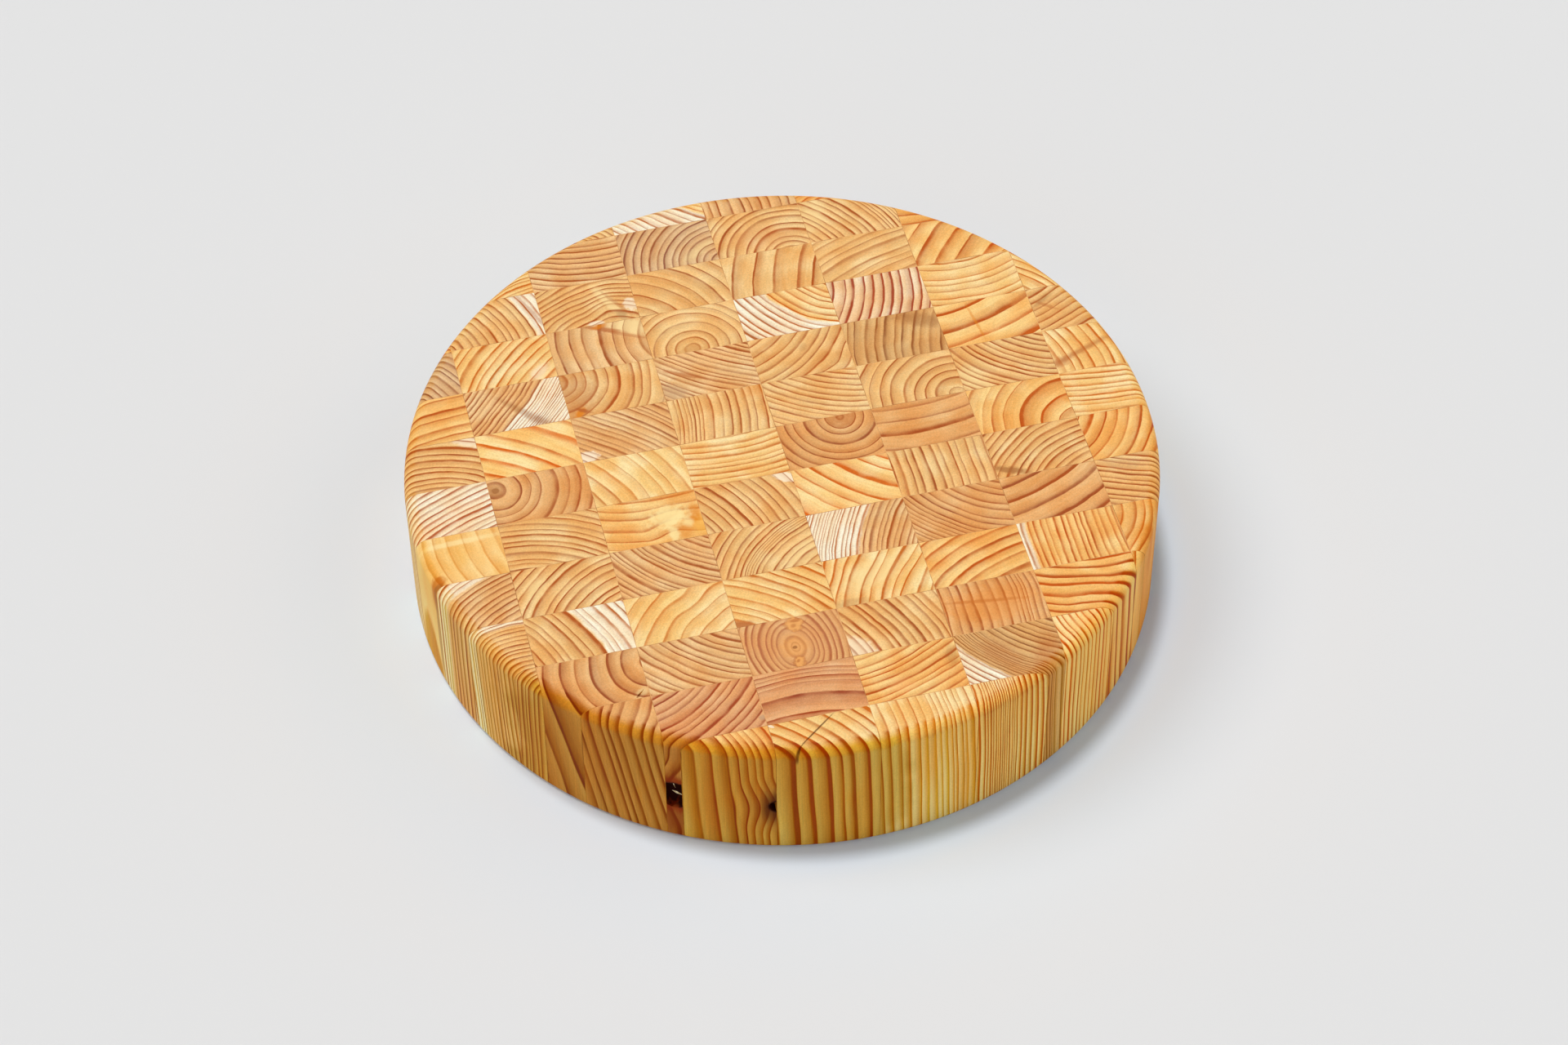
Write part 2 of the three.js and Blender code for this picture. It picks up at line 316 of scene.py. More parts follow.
    "f06": wood("honey", 180, 120, 3.6, bold=0.9),
    "f07": wood("brown", 92, 100, 7.0, late=0.4, line=2.2, bold=0.88),
    "f08": wood("honey", 322, 21.2, 4.6, bold=0.95),
    "f09": wood("olive", 345, 75, 3.8, bold=0.85, marks=[
        spot(13, 7, 10, 3.5, -25, SMUDGE, 0.5)]),
    "f10": wood("pink", 165, 70, 4.0, bold=1.3),
    "f11": wood("honey", 290, 110, 4.3, bold=0.75),
    "f12": wood("honey", 211, 62, 3.1, dense=(68, 84, 3), marks=[spot(-16, 2, 10, 5, 70, GLOW, 0.5)]),
    "f13": wood("orange", 290, 70, 4.0),
    "g02": wood("pale", 30, 60, 2.6, late=0.4, line=1.2, bold=1.15),
    "g03": wood("orange", 82, 100, 4.4, late=0.4, line=3.0, warm=0.5, bold=1.25, wave=1.5),
    "g04": wood("orange", 0, 140, 2.7, sap=157, bold=0.85),
    "g05": wood("brown", 112, 80, 7.6, late=0.3, line=3.0, bold=1.3),
    "g06": wood("honey", 305, 52, 3.1, marks=[spot(-14, -9, 7, 1.7, -22, SMUDGE, 0.7)]),
    "g07": wood("orange", 326, 25, 8.0, bold=1.1, dense=(28, 45, 1.3)),
    "g08": wood("honey", 50, 55, 3.0, bold=1.15, marks=[spot(-15, -7, 9, 5, -50, GLOW, 0.5)]),
    "g09": wood("orange", 108, 90, 8.2, late=0.35, line=2.6, bold=1.1, marks=[
        spot(-5, 0, 10, 0.6, -83, AMBER, 0.5)]),
    "g10": wood("yellow", 93, 58, 4.3),
    "g11": wood("orange", 318, 110, 7.5, line=2.0, warm=0.55, bold=0.85),
    "g12": wood("orange", 100, 60, 6.0),
    "h03": wood("orange", 160, 60, 4.0),
    "h04": wood("orange", 160, 50, 4.0, marks=[
        spot(-8, -4, 3, 4, 0, AMBER, 0.6), spot(-10, 0, 12, 10, 0, AMBER, 0.25)]),
    "h05": wood("honey", 75, 90, 2.7, marks=[spot(-10, 8, 8, 3, -15, GREY, 0.2)]),
    "h06": wood("orange", 150, 50, 4.8),
    "h07": wood("yellow", 85, 150, 2.9, glow=1.3, bold=0.9),
    "h08": wood("yellow", 190, 80, 4.4, marks=[
        spot(-7, -1.7, 14, 1.3, 22, RUST, 0.6, 0.8), spot(-17, -6, 4, 2.5, 20, RUST, 0.5)]),
    "h09": wood("honey", 125, 70, 3.6, marks=[
        spot(-15, 5, 5, 1.0, 32, SMUDGE, 0.5, 0.7), spot(-14, 2, 5, 0.9, -40, RUST, 0.4)]),
    "h10": wood("yellow", 215, 60, 4.0),
    "h11": wood("orange", 215, 60, 4.0),
}


class Graph:
    """A node tree with short ways to add nodes to it."""

    def __init__(self, tree):
        self.tree = tree

    def feed(self, socket, value):
        """Links a socket to an output, or sets it to a plain value."""
        if isinstance(value, bpy.types.NodeSocket):
            self.tree.links.new(value, socket)
        else:
            socket.default_value = value

    def put(self, kind, *values, **settings):
        """A new shader node with its settings, and with what its first inputs are fed."""
        made = self.tree.nodes.new("ShaderNode" + kind)
        for name, value in settings.items():
            setattr(made, name, value)
        for socket, value in zip(made.inputs, values):
            self.feed(socket, value)
        return made

    def wire(self, node, values):
        """Feeds a node's inputs by their labels, and gives its outputs."""
        for label, value in values.items():
            self.feed(node.inputs[label], value)
        return node.outputs

    def group(self, tree, values):
        """A node group with its inputs fed, as its outputs."""
        return self.wire(self.put("Group", node_tree=tree), values)

    def maths(self, operation, *values, clamp=False):
        return self.put("Math", *values, operation=operation, use_clamp=clamp).outputs[0]

    def times(self, first, second, clamp=False):
        return self.maths("MULTIPLY", first, second, clamp=clamp)

    def swing(self, value, amount, base):
        """A base that shifts by an amount in all, half to each side, as the value goes from 0 to 1."""
        return self.maths("MULTIPLY_ADD", self.maths("SUBTRACT", value, 0.5), amount, base)

    def vector(self, operation, *values):
        made = self.put("VectorMath", *values, operation=operation)
        return made.outputs["Value" if operation in ("LENGTH", "DOT_PRODUCT") else "Vector"]

    def scaled(self, vector, amount):
        made = self.put("VectorMath", vector, operation="SCALE")
        return self.wire(made, {"Scale": amount})["Vector"]

    def joined(self, x, y, z):
        return self.put("CombineXYZ", x, y, z).outputs[0]

    def split(self, vector):
        return self.put("SeparateXYZ", vector).outputs

    def place(self):
        """Where a point of the surface lies, in mm."""
        return self.scaled(self.put("TexCoord").outputs["Object"], 1 / MM)

    def depth(self, place):
        """How far a place lies below the board's top, in mm."""
        return self.maths("SUBTRACT", BOARD_THICKNESS, self.split(place)[2])

    def noise(self, dimensions, detail, **values):
        """Smooth noise from 0 to 1, as a number and as a colour."""
        made = self.put("TexNoise", noise_dimensions=dimensions)
        return self.wire(made, {"Scale": 1.0, "Detail": detail, **values})

    def patches(self, place, pattern):
        """Noise in patches: their size across the stick and along it (mm), and their detail."""
        across, along, detail = pattern
        shrunk = self.vector("MULTIPLY", place, (1 / across, 1 / across, 1 / along))
        return self.noise("3D", detail, Vector=shrunk)

    def chance(self, value):
        """Three numbers from 0 to 1 that jump from one whole number to the next."""
        made = self.put("TexWhiteNoise", noise_dimensions="1D")
        return self.split(self.wire(made, {"W": value})["Color"])

    def step(self, value, low, high, start=0.0, end=1.0):
        """A smooth step from start to end as the value goes from low to high."""
        values = (value, low, high, start, end)
        return self.put("MapRange", *values, interpolation_type="SMOOTHSTEP").outputs[0]

    def mix(self, factor, first, second, blend="MIX"):
        """A mix of two colours, which are the node's sockets 6 and 7."""
        made = self.put("Mix", factor, data_type="RGBA", blend_type=blend)
        self.feed(made.inputs[6], first)
        self.feed(made.inputs[7], second)
        return made.outputs[2]

    def tinted(self, colour, tint, amount=1.0):
        return self.mix(amount, colour, tint, blend="MULTIPLY")

    def seen(self):
        """1 for what the camera sees, straight, mirrored or through glass, and 0 for other light."""
        path = self.put("LightPath").outputs
        seen = self.maths("MAXIMUM", path["Is Camera Ray"], path["Is Glossy Ray"])
        return self.maths("MAXIMUM", seen, path["Is Transmission Ray"])


def new_group(name, inputs, outputs):
    """An empty node group with sockets named by kind: its graph, input sockets and output node."""
    tree = bpy.data.node_groups.new(name, "ShaderNodeTree")
    for way, sockets in (("INPUT", inputs), ("OUTPUT", outputs)):
        for kind, labels in sockets.items():
            for label in labels:
                tree.interface.new_socket(label, in_out=way, socket_type="NodeSocket" + kind)
    start = tree.nodes.new("NodeGroupInput")
    return Graph(tree), start.outputs, tree.nodes.new("NodeGroupOutput")


def new_material(name):
    """A new material, with its graph and its shader."""
    material = bpy.data.materials.new(name)
    material.use_nodes = True
    graph = Graph(material.node_tree)
    return material, graph, graph.tree.nodes["Principled BSDF"]


# Patches in the wood: their size across the stick and along it in mm, and their detail
WANDER_PATCHES = (26.0, 70.0, 1.0)
BEND_PATCHES = (4.5, 40.0, 1.0)
STRENGTH_PATCHES = (9.0, 60.0, 2.0)
GLOW_PATCHES = (14.0, 90.0, 1.0)
DRIFT_PATCHES = (17.0, 110.0, 1.0)
FIBRE_PATCHES = (1 / 1.5, 18.0, 2.0)
SPECK_PATCHES = (1 / 2.4, 1 / 1.2, 1.0)
MARK_PATCHES = (2.2, 30.0, 3.0)
STREAK_LENGTH = 60.0
STREAK_DETAIL = 2.0

# How fast streaks and rays change round the pith and away from it, for each mm
STREAK_PACE = (0.09, 0.8)
RAY_PACE = (2.0, 0.9)

# Values of the noise between which a pattern goes from one end to the other
STRENGTH_RANGE = (0.25, 0.7)
GLOW_RANGE = (0.38, 0.68)
DRIFT_RANGE = (0.36, 0.64)
STREAK_RANGE = (0.3, 0.7)
FIBRE_RANGE = (0.25, 0.75)

MIDDLE_NOISE = (0.5, 0.5, 0.5)
WANDER = 4.0  # times a block's wave, of its rings' slow bends
ROUGHNESS = 0.5  # mm, of the rings' little bends
WIDTH_PACE = 0.55  # how fast the width of the rings changes from one to the next, and by how much of a ring
WIDTH_CHANGE = 0.7
LINE_RISE = 0.8  # share of the dark line in which it darkens
LINE_CHANGE = 0.24  # of a ring, how far the start of the line shifts from year to year
LEAST_STRENGTH = 0.62  # of the weakest ring, before MORE_STRENGTH times its luck
MORE_STRENGTH = 0.55
PATCH_STRENGTH = (0.7, 1.12)
GLOW_CHANGE = 0.5  # how far the glow shifts from year to year
YOUNG_PART = 0.55  # of a ring, how long its first wood glows more, and how much more
YOUNG_GLOW = 0.35
SAP_RAGGED = 3.0  # mm, how ragged the border of the sapwood is, and half its width
SAP_BORDER = 0.8
YELLOW_DRIFT = (1.0, 1.05, 1.06, 1.0)  # how broad patches of the wood lean to yellow and to orange
ORANGE_DRIFT = (1.0, 0.93, 0.82, 1.0)
SOAK = 0.95  # how far the warm wood before a line takes the line's tint on the side, and how late in the year
SOAK_POWER = 1.6
SOAK_LINE = 1.4  # how much more than its own darkness a line takes of that tint
ORANGE_LINE = (1.14, 1.0, 0.8, 1.0)  # how the lines change in hue from year to year
PURPLE_LINE = (0.94, 0.96, 1.2, 1.0)
DEEP_STREAK = (0.96, 0.92, 0.87, 1.0)  # how the wood changes in streaks along the rings
PALE_STREAK = (1.01, 1.06, 1.14, 1.0)
RAY_TINT = (0.965, 1.03)
FIBRE_TINT = (0.93, 1.07)
SPECK_TINT = (0.95, 1.05)
COPIED = ("ring", "late", "warm", "bold", "wave", "glow", "phase", "sap")  # inputs as the table has them
COLOURS = ("early colour", "glow colour", "late colour")  # inputs in the order of a tone's colours


def ring_group():
    """Growth rings of larch round their pith, as a colour and the shares of late and of soaked wood."""
    graph, given, result = new_group(
        "larch rings",
        {
            "Vector": ("pith", "lean", "stretch", "dense", "bend place"),
            "Float": (*COPIED, "line start", "year end", "seed", "reach", "bend size", "bend push"),
            "Color": COLOURS,
        },
        {"Color": ("colour",), "Float": ("late share", "soaked share")},
    )
    place = graph.place()
    shifted = graph.vector("ADD", place, graph.joined(given["seed"], given["seed"], 0.0))

    # The rings wander a little round the pith, and much less along the stick
    bent = place
    wander = graph.times(given["wave"], WANDER)
    for pattern, amount in ((WANDER_PATCHES, wander), (BEND_PATCHES, ROUGHNESS)):
        flow = graph.vector("SUBTRACT", graph.patches(shifted, pattern)[1], MIDDLE_NOISE)
        bent = graph.vector("ADD", bent, graph.scaled(flow, amount))

    # Distance and direction from the pith, which leans as it goes down
    pith = graph.vector("ADD", given["pith"], graph.scaled(given["lean"], graph.depth(place)))
    out = graph.vector("MULTIPLY", graph.vector("SUBTRACT", bent, pith), given["stretch"])
    direction = graph.vector("NORMALIZE", out)
    from_knot = graph.vector("LENGTH", graph.vector("SUBTRACT", place, given["bend place"]))
    near_knot = graph.step(from_knot, 0.0, given["bend size"], 1.0, 0.0)
    distance = graph.maths("MULTIPLY_ADD", near_knot, given["bend push"], graph.vector("LENGTH", out))

    # Count of rings, some wider and some narrower
    count = graph.maths("DIVIDE", distance, given["ring"])
    dense_from, dense_to, more_rings = graph.split(given["dense"])
    dense = graph.step(distance, dense_from, dense_to)
    count = graph.maths("MULTIPLY_ADD", dense, more_rings, count)
    count = graph.maths("ADD", count, given["phase"])
    vary = graph.noise("1D", 0.0, W=graph.maths("MULTIPLY_ADD", count, WIDTH_PACE, given["seed"]))[0]
    count = graph.swing(vary, WIDTH_CHANGE, count)
    within = graph.maths("FRACT", count)
    luck = graph.chance(graph.maths("ADD", graph.maths("FLOOR", count), given["seed"]))

    # The wood grows warmer through the year, then a dark line ends it
    warmth = graph.step(within, given["late"], given["year end"])
    start = graph.swing(luck[0], LINE_CHANGE, given["line start"])
    full = graph.maths("MULTIPLY_ADD", graph.maths("SUBTRACT", given["year end"], start), LINE_RISE, start)
    quick = graph.times(graph.step(within, start, full), graph.maths("SUBTRACT", 1.0, given["warm"]))
    rise = graph.maths("MULTIPLY_ADD", warmth, given["warm"], quick)
    fall = graph.step(within, given["year end"], 1.0, 1.0, 0.0)
    strength = graph.maths("MULTIPLY_ADD", luck[1], MORE_STRENGTH, LEAST_STRENGTH)
    patchy = graph.patches(shifted, STRENGTH_PATCHES)[0]
    strength = graph.times(strength, graph.step(patchy, *STRENGTH_RANGE, *PATCH_STRENGTH))
    late = graph.times(graph.times(rise, fall), graph.times(strength, given["bold"]), clamp=True)

    # Earlywood glows in broad patches and changes from year to year
    glow = graph.step(graph.patches(shifted, GLOW_PATCHES)[0], *GLOW_RANGE)
    glow = graph.swing(luck[2], GLOW_CHANGE, glow)
    glow = graph.maths("ADD", glow, graph.step(within, 0.0, YOUNG_PART, YOUNG_GLOW, 0.0))
    glow = graph.times(glow, given["glow"], clamp=True)
    early_colour = graph.mix(glow, given["early colour"], given["glow colour"])

    # Sapwood lies beyond the heartwood
    beyond = graph.maths("SUBTRACT", graph.swing(patchy, SAP_RAGGED, distance), given["sap"])
    sap = graph.step(beyond, -SAP_BORDER, SAP_BORDER)
    sap_colour, sap_late_colour = map(linear, SAPWOOD)
    early_colour = graph.mix(sap, early_colour, sap_colour)
    late_colour = graph.mix(sap, given["late colour"], sap_late_colour)
    late_colour = graph.tinted(late_colour, graph.mix(luck[2], ORANGE_LINE, PURPLE_LINE))
    colour = graph.mix(late, early_colour, late_colour)

    # Broad patches lean to yellow or to orange
    drift = graph.step(graph.split(graph.patches(shifted, DRIFT_PATCHES)[1])[1], *DRIFT_RANGE)
    colour = graph.tinted(colour, graph.mix(drift, YELLOW_DRIFT, ORANGE_DRIFT))

    # Streaks run along the rings, rays outwards from the pith, and fibres along the stick
    along = graph.joined(0.0, 0.0, graph.times(graph.split(place)[2], 1 / STREAK_LENGTH))
    around = graph.vector("ADD", graph.scaled(direction, given["reach"]), along)
    streak, ray = (
        graph.noise(
            "4D", STREAK_DETAIL, Vector=graph.scaled(around, turning), W=graph.times(distance, outward)
        )[0]
        for turning, outward in (STREAK_PACE, RAY_PACE)
    )
    colour = graph.tinted(colour, graph.mix(graph.step(streak, *STREAK_RANGE), DEEP_STREAK, PALE_STREAK))
    fibre = graph.patches(place, FIBRE_PATCHES)[0]
    speck = graph.patches(place, SPECK_PATCHES)[0]
    tint = graph.step(ray, *FIBRE_RANGE, *RAY_TINT)
    tint = graph.times(tint, graph.step(fibre, *FIBRE_RANGE, *FIBRE_TINT))
    tint = graph.times(tint, graph.step(speck, *STREAK_RANGE, *SPECK_TINT))

    # Oil soaks into the warm wood before the line as well
    soaked = graph.times(graph.maths("POWER", warmth, SOAK_POWER), graph.times(fall, SOAK))
    line_soaked = graph.times(late, SOAK_LINE, clamp=True)
    graph.wire(result, {
        "colour": graph.scaled(colour, tint),
        "late share": late,
        "soaked share": graph.maths("MAXIMUM", line_soaked, soaked),
    })
    return graph.tree


def mark_group():
    """A soft, ragged oval of another colour that reaches some way down into the wood."""
    graph, given, result = new_group(
        "mark",
        {
            "Color": ("colour", "tint"),
            "Vector": ("middle", "shrink"),
            "Float": ("turn", "amount", "soft", "ragged", "fade from", "fade to", "late share", "clear"),
        },
        {"Color": ("colour",)},
    )
    place = graph.place()
    rotate = graph.put("VectorRotate", rotation_type="Z_AXIS", invert=True)
    from_middle = graph.vector("SUBTRACT", place, given["middle"])
    turned = graph.wire(rotate, {"Vector": from_middle, "Angle": given["turn"]})[0]
    away = graph.vector("LENGTH", graph.vector("MULTIPLY", turned, given["shrink"]))
    rough = graph.swing(graph.patches(place, MARK_PATCHES)[0], 2.0, 0.0)
    away = graph.maths("MULTIPLY_ADD", rough, given["ragged"], away)
    inner = graph.maths("SUBTRACT", 1.0, given["soft"])
    outer = graph.maths("ADD", 1.0, given["soft"])
    cover = graph.step(away, inner, outer, 1.0, 0.0)
    fade = graph.step(graph.depth(place), given["fade from"], given["fade to"], 1.0, 0.0)
    cover = graph.times(graph.times(cover, fade), given["amount"])
    lines = graph.times(given["late share"], given["clear"])
    cover = graph.times(cover, graph.maths("SUBTRACT", 1.0, lines))
    graph.wire(result, {"colour": graph.mix(cover, given["colour"], given["tint"])})
    return graph.tree


# How the oiled surface changes the colour of early and late wood: on the upright side, on the rounded edge
# at the front and at the back, and painted shade that darkens side and edge towards the front left
SIDE_TINTS = ((1.06, 1.03, 0.74, 1.0), (0.95, 0.74, 0.0, 1.0))
PAINTED_SHADE_SIDE_TINTS = ((0.82, 0.72, 0.30, 1.0), (0.66, 0.42, 0.0, 1.0))
EDGE_TINTS = ((1.05, 0.96, 0.62, 1.0), (0.80, 0.43, 0.0, 1.0))
BACK_EDGE_TINTS = ((1.03, 0.98, 0.82, 1.0), (1.0, 0.85, 0.5, 1.0))
PAINTED_SHADE_EDGE_TINTS = ((0.86, 0.67, 0.15, 1.0), (0.62, 0.30, 0.0, 1.0))
PLAIN_TINT = (1.0, 1.0, 1.0, 1.0)

# The middle of the front and of the painted shade on the front left, in degrees from +X towards +Y, and the
# cosines of the angle from there at which they start and are full
FRONT_BEARING = 265
FRONT_REACH = (0.1, 0.7)
PAINTED_SHADE_BEARING = 243
PAINTED_SHADE_REACH = (0.83, 0.88)
PAINTED_SHADE_CHANGE = 0.15  # how ragged the border of the painted shade is
PAINTED_SHADE_PATCHES = (25.0, 25.0, 2.0)

# Slopes in degrees from level over which the surface goes from flat to edge, for early and late wood, and
# from edge to side
EARLY_EDGE = (5.0, 45.0)
LATE_EDGE = (0.0, 16.0)
EDGE_TO_SIDE = (66.0, 88.0)
SLOPE_CHANGE = 0.7  # how ragged these borders are
STAIN_PATCHES = (7.0, 20.0, 2.0)

# Fine grain of the surface, and what it and the lines add to the roughness and to the height
GRAIN_PATCHES = (0.25, 10.0, 2.0)
LEAST_ROUGHNESS = 0.40
GRAIN_ROUGHNESS = 0.16
LINE_ROUGHNESS = -0.07
GRAIN_HEIGHT = 0.4
LINE_HEIGHT = 0.6


def finish_group():
    """The oiled surface over the rings, with painted shade at the front left, as colour, roughness and
    height.
    """
    graph, given, result = new_group(
        "oiled surface",
        {"Color": ("colour",), "Float": ("late share", "soaked share")},
        {"Color": ("colour",), "Float": ("roughness", "height")},
    )
    place = graph.place()
    up = graph.split(graph.put("NewGeometry").outputs["Normal"])[2]
    slope = graph.maths("ARCCOSINE", graph.maths("ABSOLUTE", up, clamp=True))
    slope = graph.times(slope, 180 / math.pi)
    slope = graph.times(slope, graph.swing(graph.patches(place, STAIN_PATCHES)[0], SLOPE_CHANGE, 1.0))

    # Painted shade on side and edge towards the front left, and where the front is
    outward = graph.vector("NORMALIZE", graph.vector("MULTIPLY", place, (1.0, 1.0, 0.0)))
    facing = graph.vector("DOT_PRODUCT", outward, heading(PAINTED_SHADE_BEARING))
    painted_shade = graph.step(graph.swing(graph.patches(place, PAINTED_SHADE_PATCHES)[0], PAINTED_SHADE_CHANGE, facing), *PAINTED_SHADE_REACH)
    front = graph.step(graph.vector("DOT_PRODUCT", outward, heading(FRONT_BEARING)), *FRONT_REACH)

    # Tints for early and late wood, which the painted shade darkens towards the front left
    tints = []
    for index, to_edge in enumerate((EARLY_EDGE, LATE_EDGE)):
        edge_tint = graph.mix(front, BACK_EDGE_TINTS[index], EDGE_TINTS[index])
        edge_tint = graph.mix(painted_shade, edge_tint, PAINTED_SHADE_EDGE_TINTS[index])
        side_tint = graph.mix(painted_shade, SIDE_TINTS[index], PAINTED_SHADE_SIDE_TINTS[index])
        tint = graph.mix(graph.step(slope, *to_edge), PLAIN_TINT, edge_tint)
        tints.append(graph.mix(graph.step(slope, *EDGE_TO_SIDE), tint, side_tint))

    grain = graph.patches(place, GRAIN_PATCHES)[0]
    rough = graph.maths("MULTIPLY_ADD", grain, GRAIN_ROUGHNESS, LEAST_ROUGHNESS)
    height = graph.times(grain, GRAIN_HEIGHT)
    graph.wire(result, {
        "colour": graph.tinted(given["colour"], graph.mix(given["soaked share"], *tints)),
        "roughness": graph.maths("MULTIPLY_ADD", given["late share"], LINE_ROUGHNESS, rough),
        "height": graph.maths("MULTIPLY_ADD", given["late share"], LINE_HEIGHT, height),
    })
    return graph.tree


RINGS = ring_group()
MARK = mark_group()
FINISH = finish_group()

MOST_LINE = 0.52  # of a ring, for its dark line
YEAR_END = 0.42  # mm over which the line stops
LEAST_REACH = 15.0  # mm from the pith, for the streaks of a block that holds it
LEAN = 0.04  # mm that the pith moves sideways for each mm of depth
LEAN_TURN = 2.4  # radians from one block's lean to the next one's
SEED_STEP = 37.3
RELIEF = 0.02  # mm of bump for a height of 1
BUMP_STRENGTH = 0.5
OIL_GLOSS = 0.03


def larch(name, row, middle, seed):
    """The material of one block whose middle is given in mm."""
    material, graph, shader = new_material(name)
    turn = seed * LEAN_TURN
    lean = row["lean"] or (LEAN * math.cos(turn), LEAN * math.sin(turn))
    knot_x, knot_y, knot_height, knot_size, push = row["bend"]
    colours = map(linear, TONES[row["tone"]])
    rings = graph.group(RINGS, {
        **{label: row[label] for label in COPIED},
        **dict(zip(COLOURS, colours)),
        "pith": middle + row["distance"] * heading(row["bearing"]),
        "lean": (*lean, 0.0),
        "stretch": (1.0, row["stretch"], 0.0),
        "dense": row["dense"],
        "bend place": middle + Vector((knot_x, knot_y, knot_height)),
        "bend size": knot_size,
        "bend push": push,
        "line start": 1 - min(row["line"] / row["ring"], MOST_LINE),
        "year end": 1 - YEAR_END / row["ring"],
        "seed": seed * SEED_STEP,
        "reach": max(row["distance"], LEAST_REACH),
    })
    shares = {label: rings[label] for label in ("late share", "soaked share")}
    surface = rings["colour"]
    for mark in row["marks"]:
        on_board = {"middle": middle + mark["middle"], "colour": surface, "late share": shares["late share"]}
        surface = graph.group(MARK, {**mark, **on_board})["colour"]
    finish = graph.group(FINISH, {"colour": surface, **shares})
    relief = {"Strength": BUMP_STRENGTH, "Distance": RELIEF * MM, "Height": finish["height"]}
    graph.wire(shader, {
        "Base Color": finish["colour"],
        "Roughness": finish["roughness"],
        "Normal": graph.wire(graph.put("Bump"), relief)["Normal"],
        "Specular IOR Level": OIL_GLOSS,
    })
    return material


def board_profile():
    """The turned outline from the underside to the top, as pairs of radius and height."""
    low = BOTTOM_EDGE_RADIUS
    high = TOP_EDGE_RADIUS
    profile = [(BOARD_RADIUS - low - FLAT_MARGIN, 0.0)]
    for step in range(BOTTOM_EDGE_STEPS + 1):
        turn = math.pi / 2 * (step / BOTTOM_EDGE_STEPS - 1)
        profile.append((BOARD_RADIUS - low + low * math.cos(turn), low + low * math.sin(turn)))
    profile.append((BOARD_RADIUS, low + FLAT_MARGIN))
    profile.append((BOARD_RADIUS, BOARD_THICKNESS - high - FLAT_MARGIN))
    for step in range(TOP_EDGE_STEPS + 1):
        turn = math.pi / 2 * step / TOP_EDGE_STEPS
        radius = BOARD_RADIUS - high + high * math.cos(turn)
        profile.append((radius, BOARD_THICKNESS - high + high * math.sin(turn)))
    profile.append((BOARD_RADIUS - high - FLAT_MARGIN, BOARD_THICKNESS))
    return profile


def loft(rings):
    """A closed body through rings that have as many points each, in mm."""
    body = bmesh.new()
    rows = [[body.verts.new(point) for point in ring] for ring in rings]
    for lower, upper in zip(rows, rows[1:]):
        for side in range(len(lower)):
            after = (side + 1) % len(lower)
            body.faces.new((lower[side], lower[after], upper[after], upper[side]))
    body.faces.new(reversed(rows[0]))
    body.faces.new(rows[-1])
    return body


def board_disc():
    """The whole board as one closed mesh in mm."""
    turns = [2 * math.pi * step / RIM_SEGMENTS for step in range(RIM_SEGMENTS)]
    return loft([
        [(radius * math.cos(turn), radius * math.sin(turn), height) for turn in turns]
        for radius, height in board_profile()
    ])


def slab(source, axis, low, high):
    """A copy of a mesh cut to the part between low and high along one axis, with the cuts closed."""
    piece = source.copy()
    unit = Vector()
    unit[axis] = 1.0
    for place, side in ((low, -1.0), (high, 1.0)):
        cut = bmesh.ops.bisect_plane(
            piece, geom=piece.verts[:] + piece.edges[:] + piece.faces[:], dist=CUT_TOLERANCE,
            plane_co=unit * place, plane_no=unit * side, clear_outer=True,
        )
        edges = [item for item in cut["geom_cut"] if isinstance(item, bmesh.types.BMEdge)]
        if edges:
            bmesh.ops.edgeloop_fill(piece, edges=edges)
    return piece


def add_object(name, data):
    """A new object in the scene."""
    made = bpy.data.objects.new(name, data)
    bpy.context.scene.collection.objects.link(made)
    return made


def show(name, piece, material):
    """A mesh in mm as a piece of the scene, which uses the mesh up."""
    bmesh.ops.recalc_face_normals(piece, faces=piece.faces[:])
    mesh = bpy.data.meshes.new(name)
    piece.to_mesh(mesh)
    piece.free()
    mesh.transform(Matrix.Scale(MM, 4))
    mesh.polygons.foreach_set("use_smooth", [True] * len(mesh.polygons))
    mesh.set_sharp_from_angle(angle=SHARP_ANGLE)
    mesh.materials.append(material)
    return add_object(name, mesh)


def cut_out(piece, cutter):
    """A mesh with another one cut out of it, which uses both up."""
    parts = []
    for source in (piece, cutter):
        bmesh.ops.recalc_face_normals(source, faces=source.faces[:])
        mesh = bpy.data.meshes.new("cutting")
        source.to_mesh(mesh)
        source.free()
        parts.append(add_object("cutting", mesh))
    body, tool = parts
    cut = body.modifiers.new("cut", "BOOLEAN")
    cut.operation = "DIFFERENCE"
    cut.solver = "EXACT"
    cut.object = tool
    result = bmesh.new()
    result.from_object(body, bpy.context.evaluated_depsgraph_get())
    for part in parts:
        mesh = part.data
        bpy.data.objects.remove(part)
        bpy.data.meshes.remove(mesh)
    return result


LUMP_PACE = 1.8  # how quickly a lump's surface goes up and down
CUTTER_ABOVE = 1.0  # mm that a cutter stands over the top
CUTTER_TAPER = 3  # how much narrower it is at its foot
SHARD_WAIST = 0.4  # of a splinter's length, where it is widest


def lump(middle, half_size, uneven, detail=3):
    """A closed round body with an uneven surface, in mm."""
    body = bmesh.new()
    bmesh.ops.create_icosphere(body, subdivisions=detail, radius=1.0)
    for vert in body.verts:
        swell = 1 + uneven * noise.noise(vert.co * LUMP_PACE + middle)
        vert.co = middle + Vector(swell * way * half for way, half in zip(vert.co, half_size))
    return body


